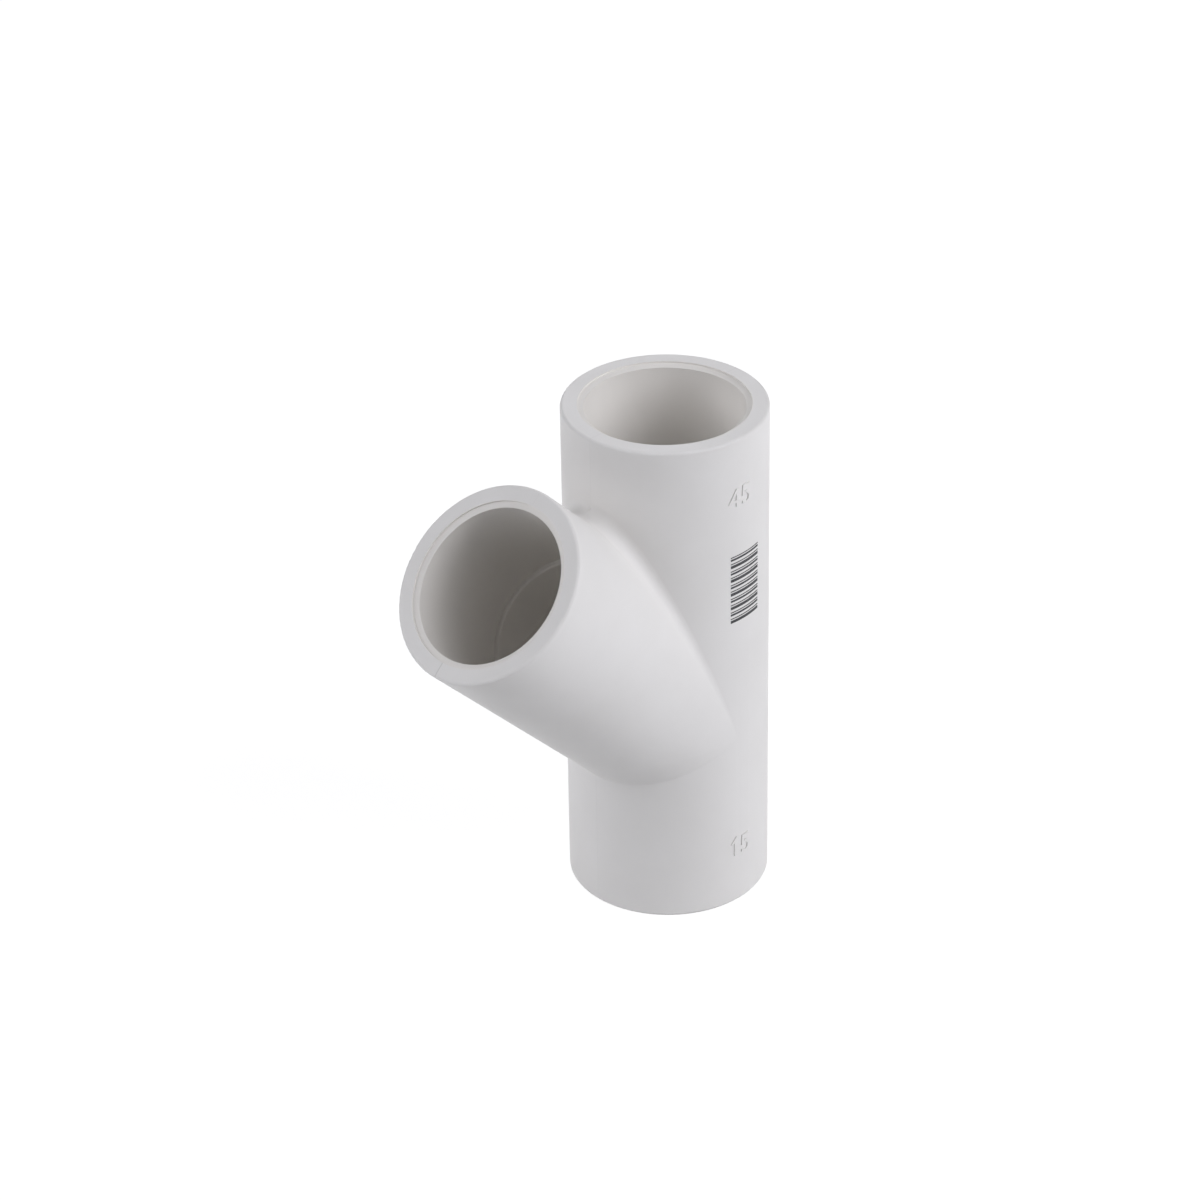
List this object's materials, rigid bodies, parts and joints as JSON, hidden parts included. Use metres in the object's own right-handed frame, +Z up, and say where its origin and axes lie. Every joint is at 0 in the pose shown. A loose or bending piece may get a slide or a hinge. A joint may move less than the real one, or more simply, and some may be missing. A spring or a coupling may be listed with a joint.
{
  "type": "lateral wye fitting",
  "caption": "White plastic pipe wye: equal sockets in line and on a branch leaning at a slant, each with a pipe stop inside.",
  "frame": {"origin": "centre of the run's lower mouth, in the plane of its end face", "axes": "+Z up along the run's axis, out of the upper mouth; the branch leans towards +X in the XZ plane; +Y completes the right-handed frame"},
  "size_m": [0.0558, 0.0277, 0.0726],
  "materials": {
    "white_pvc": "satin, as moulded",
    "printed_ink": "flat printed bars"
  },
  "bodies": {
    "root": {"wye_body": "white_pvc"}
  },
  "joints": []
}
